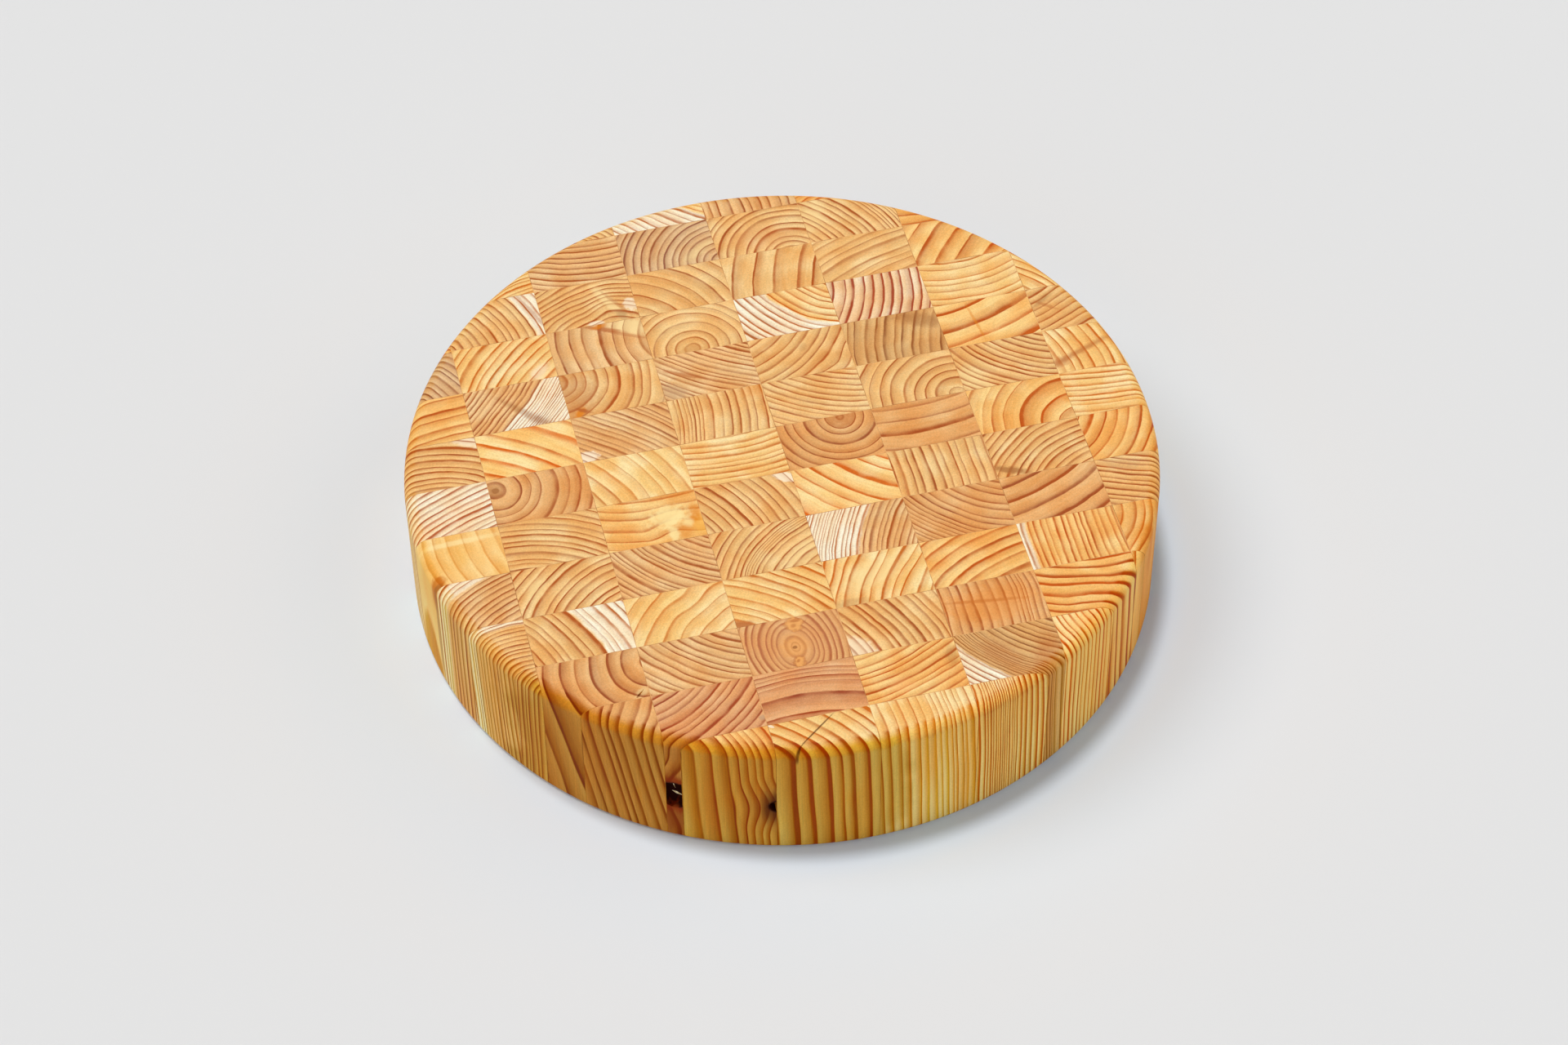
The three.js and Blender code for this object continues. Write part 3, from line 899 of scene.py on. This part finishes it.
def blade(path):
    """A wedge-shaped cutter along a path on the top, with the x, y, width at the top and height of the foot
    at each point (mm)."""
    sections = []
    for index, (x, y, width, foot) in enumerate(path):
        before = path[max(index - 1, 0)]
        after = path[min(index + 1, len(path) - 1)]
        along = Vector((after[0] - before[0], after[1] - before[1], 0.0)).normalized()
        aside = Vector((-along.y, along.x, 0.0)) * width / 2
        narrow = aside / CUTTER_TAPER
        top = Vector((x, y, BOARD_THICKNESS + CUTTER_ABOVE))
        low = Vector((x, y, foot))
        sections.append((top - aside, top + aside, low + narrow, low - narrow))
    return loft(sections)


def shard(start, end, width, height):
    """A splinter between two points, in mm."""
    along = (end - start).normalized()
    aside = along.cross(Vector((0.0, 0.0, 1.0))).normalized() * width / 2
    upward = aside.cross(along).normalized() * height / 2
    waist = start.lerp(end, SHARD_WAIST)
    body = bmesh.new()
    tips = [body.verts.new(start), body.verts.new(end)]
    ring = [body.verts.new(waist + way) for way in (aside, upward, -aside, -upward)]
    for side in range(len(ring)):
        after = (side + 1) % len(ring)
        body.faces.new((tips[0], ring[side], ring[after]))
        body.faces.new((tips[1], ring[after], ring[side]))
    return body


# Damaged blocks, in mm on the board: the knot that has fallen out of the rim and the little knot hole beside
# the next seam, with their middle, half sizes and unevenness
KNOT_HOLES = {
    "c02": (Vector((-75.3, -132.6, 26.5)), (7.4, 6.5, 7.6), 0.18),
    "c01": (Vector((-39.0, -147.6, 26.2)), (2.8, 4.0, 3.1), 0.15),
}

# The drying crack that runs out to the rim, and the torn fibres of a splinter: x, y, width and foot
CRACKS = {
    "d01": (
        (-13.6, -134.8, 0.05, 59.6), (-16.8, -137.4, 0.14, 59.0), (-20.0, -139.5, 0.14, 58.8),
        (-24.2, -143.0, 0.18, 58.5), (-28.9, -146.5, 0.25, 58.0), (-29.9, -147.9, 0.4, 57.5),
        (-30.6, -149.2, 0.6, 57.0),
    ),
    "b03": ((-80.4, -105.0, 0.1, 59.8), (-81.6, -106.3, 0.8, 59.2), (-83.3, -108.0, 1.5, 59.4)),
}


def damaged(key, piece):
    """A block's mesh with its damage cut out, if it has any."""
    if key in KNOT_HOLES:
        cutter = lump(*KNOT_HOLES[key])
    elif key in CRACKS:
        cutter = blade(CRACKS[key])
    else:
        return piece
    return cut_out(piece, cutter)


# Splinters left in the damage: the block, both ends, width and height in mm
SPLINTERS = (
    ("c02", Vector((-76.5, -131.4, 28.6)), Vector((-72.2, -133.6, 26.4)), 1.0, 1.3),
    ("c02", Vector((-76.2, -130.0, 33.5)), Vector((-75.0, -131.5, 29.5)), 0.5, 0.6),
    ("b03", Vector((-79.6, -104.4, 59.6)), Vector((-84.0, -107.4, 59.5)), 0.55, 0.7),
    ("b03", Vector((-80.9, -105.6, 59.5)), Vector((-83.0, -108.7, 59.5)), 0.5, 0.7),
)


def seam_x(strip):
    """The seam to the left of a strip, counted from 0."""
    return STRIP_SEAM_X + (strip - MIDDLE_STRIP) * STRIP_PITCH


def seam_y(row):
    """The seam in front of a row, counted from 1."""
    return ROW_SEAM_Y + (row - MIDDLE_ROW) * ROW_PITCH


BLOCK_BOXES = {name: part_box(name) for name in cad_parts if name.startswith("strip_")}


def node_at(point):
    """The CAD block that holds a point in mm."""
    place = point * MM
    for name, (low, high) in BLOCK_BOXES.items():
        if all(low[axis] <= place[axis] <= high[axis] for axis in range(3)):
            return name
    raise ValueError(f"no block at {tuple(point)}")


def attach(piece, node):
    """Lets a piece stand for a node of the part."""
    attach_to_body(piece, "root")
    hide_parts(node)


def build_blocks(disc):
    """Every block of the board as its own piece."""
    seed = 0
    for strip, letter in enumerate(STRIPS):
        stick = slab(disc, 0, seam_x(strip) + HALF_LINE, seam_x(strip + 1) - HALF_LINE)
        for row in range(1, LAST_ROW + 1):
            key = f"{letter}{row:02d}"
            if key not in BLOCKS:
                continue
            whole = slab(stick, 1, seam_y(row) + HALF_LINE, seam_y(row + 1) - HALF_LINE)
            piece = damaged(key, whole)
            seed += 1
            middle = Vector((seam_x(strip) + STRIP_PITCH / 2, seam_y(row) + ROW_PITCH / 2, 0.0))
            inside = sum((vert.co for vert in piece.verts), Vector()) / len(piece.verts)
            shown = show(f"block_{key}", piece, larch(f"larch_{key}", BLOCKS[key], middle, seed))
            attach(shown, node_at(inside))
        stick.free()


SPLINTER_COLOURS = ((216, 176, 112), (253, 234, 190))
SPLINTER_PATCHES = (0.5, 2.0, 2.0)
SPLINTER_RANGE = (0.3, 0.6)
SPLINTER_ROUGHNESS = (0.55, 0.75)
BROAD_RANGE = (0.2, 0.8)


def splinter_material():
    """Bare wood with fine fibres, which no oil has reached."""
    material, graph, shader = new_material("bare_wood")
    fibre = graph.patches(graph.place(), SPLINTER_PATCHES)[0]
    graph.wire(shader, {
        "Base Color": graph.mix(graph.step(fibre, *SPLINTER_RANGE), *map(linear, SPLINTER_COLOURS)),
        "Roughness": graph.step(fibre, *BROAD_RANGE, *SPLINTER_ROUGHNESS),
        "Specular IOR Level": OIL_GLOSS,
    })
    return material


def build_splinters():
    """The splinters that stand in the damaged places."""
    material = splinter_material()
    for index, (key, start, end, width, height) in enumerate(SPLINTERS):
        piece = shard(start, end, width, height)
        shown = show(f"splinter_{index + 1}_{key}", piece, material)
        attach(shown, node_at((start + end) / 2))


GLUE_COLOURS = ((178, 118, 68), (230, 174, 112))
GLUE_PATCHES = (8.0, 8.0, 3.0)
GLUE_RANGE = (0.38, 0.62)
GLUE_SOAKED = (0.4, 0.8)
GLUE_ROUGHNESS = (0.45, 0.65)


def glue_material():
    """Dry adhesive with a cloudy tone."""
    material, graph, shader = new_material("dry_glue")
    cloud = graph.patches(graph.place(), GLUE_PATCHES)[0]
    finish = graph.group(FINISH, {
        "colour": graph.mix(graph.step(cloud, *GLUE_RANGE), *map(linear, GLUE_COLOURS)),
        "soaked share": graph.step(cloud, *BROAD_RANGE, *GLUE_SOAKED),
    })
    graph.wire(shader, {
        "Base Color": finish["colour"],
        "Roughness": graph.step(cloud, *BROAD_RANGE, *GLUE_ROUGHNESS),
        "Specular IOR Level": OIL_GLOSS,
    })
    return material


def add_to(target, source):
    """Copies one mesh into another."""
    mesh = bpy.data.meshes.new("joining")
    source.to_mesh(mesh)
    target.from_mesh(mesh)
    bpy.data.meshes.remove(mesh)


def build_glue(disc):
    """The films of glue, as one web for each quarter of the board."""
    material = glue_material()
    ends = (("front", range(1, MIDDLE_ROW)), ("back", range(MIDDLE_ROW, LAST_ROW + 1)))
    sides = (("left", range(MIDDLE_STRIP)), ("right", range(MIDDLE_STRIP, len(STRIPS))))
    for (end, rows), (side, strips) in itertools.product(ends, sides):
        web = bmesh.new()
        front = seam_y(rows[0]) - HALF_LINE if rows[0] > 1 else -BOARD_RADIUS
        back = seam_y(rows[-1] + 1) - HALF_LINE if rows[-1] < LAST_ROW else BOARD_RADIUS
        for strip in strips:
            if strip > 0:
                sheet = slab(disc, 0, seam_x(strip) - HALF_LINE, seam_x(strip) + HALF_LINE)
                part = slab(sheet, 1, front, back)
                add_to(web, part)
                sheet.free()
                part.free()
            stick = slab(disc, 0, seam_x(strip) + HALF_LINE, seam_x(strip + 1) - HALF_LINE)
            for row in rows:
                film = slab(stick, 1, seam_y(row) - HALF_LINE, seam_y(row) + HALF_LINE)
                if film.faces:
                    add_to(web, film)
                film.free()
            stick.free()
        attach(show(f"glue_{end}_{side}", web, material), "glue_web")


BACKDROP = linear((BACKGROUND_GREY,) * 3)
WHITE_LIGHT = (1.0, 1.0, 1.0, 1.0)


def paper_material():
    """Matt paper in the background's grey, of which a small part shows undimmed by shadow."""
    material, graph, shader = new_material("paper_floor")
    place = graph.place()
    away = graph.maths("SUBTRACT", graph.vector("LENGTH", place), BOARD_RADIUS)
    shaded = graph.vector("DOT_PRODUCT", graph.vector("NORMALIZE", place), heading(SHADOW_BEARING))
    shaded = graph.step(shaded, *SHADOW_REACH)
    tone = BACKDROP
    for reach, lit_cool, shadow_cool in COOL_BANDS:
        cool = graph.mix(shaded, lit_cool, shadow_cool)
        tone = graph.tinted(tone, cool, graph.step(away, 0.0, reach, 1.0, 0.0))
    graph.wire(shader, {"Base Color": tone, "Roughness": 1.0, "Specular IOR Level": 0.0})
    glow = graph.put("Emission", BACKDROP)
    shown = graph.times(graph.seen(), FLOOR_GLOW)
    blend = graph.put("MixShader", shown, shader.outputs[0], glow.outputs[0])
    graph.feed(graph.tree.nodes["Material Output"].inputs["Surface"], blend.outputs[0])
    return material


def build_floor():
    """The pale floor that the board stands on."""
    ground = bmesh.new()
    bmesh.ops.create_grid(ground, x_segments=1, y_segments=1, size=FLOOR_REACH)
    floor = show("floor", ground, paper_material())


def build_light():
    """An even sky and the lamps."""
    world = bpy.data.worlds.new("studio")
    bpy.context.scene.world = world
    world.use_nodes = True
    graph = Graph(world.node_tree)
    seen = graph.seen()
    graph.wire(graph.tree.nodes["Background"], {
        "Color": graph.mix(seen, WHITE_LIGHT, BACKDROP),
        "Strength": graph.step(seen, 0.0, 1.0, WORLD_LIGHT, 1.0),
    })
    for name, source, strength, size, shadow in LIGHTS:
        lamp = bpy.data.lights.new(name, "SUN")
        lamp.energy = strength
        lamp.angle = math.radians(size)
        lamp.use_shadow = shadow
        add_object(name, lamp).rotation_euler = source.to_track_quat("Z", "Y").to_euler()


def build_camera():
    """The photograph's camera."""
    lens = bpy.data.cameras.new("camera")
    lens.sensor_fit = "HORIZONTAL"
    lens.sensor_width = IMAGE_SENSOR
    lens.lens = CAMERA_LENS
    lens.clip_start = NEAREST_SEEN * MM
    away = Vector((math.sin(CAMERA_AZIMUTH), -math.cos(CAMERA_AZIMUTH), 0.0))
    back = away * math.cos(CAMERA_ELEVATION) + Vector((0.0, 0.0, math.sin(CAMERA_ELEVATION)))
    turn = back.to_track_quat("Z", "Y").to_matrix().to_4x4() @ Matrix.Rotation(CAMERA_ROLL, 4, "Z")
    camera = add_object("camera", lens)
    camera.matrix_world = Matrix.Translation((CAMERA_TARGET + back * CAMERA_DISTANCE) * MM) @ turn
    bpy.context.scene.camera = camera


bpy.context.scene.view_settings.view_transform = "Standard"
board = board_disc()
build_blocks(board)
build_splinters()
build_glue(board)
board.free()
build_floor()
build_light()
build_camera()
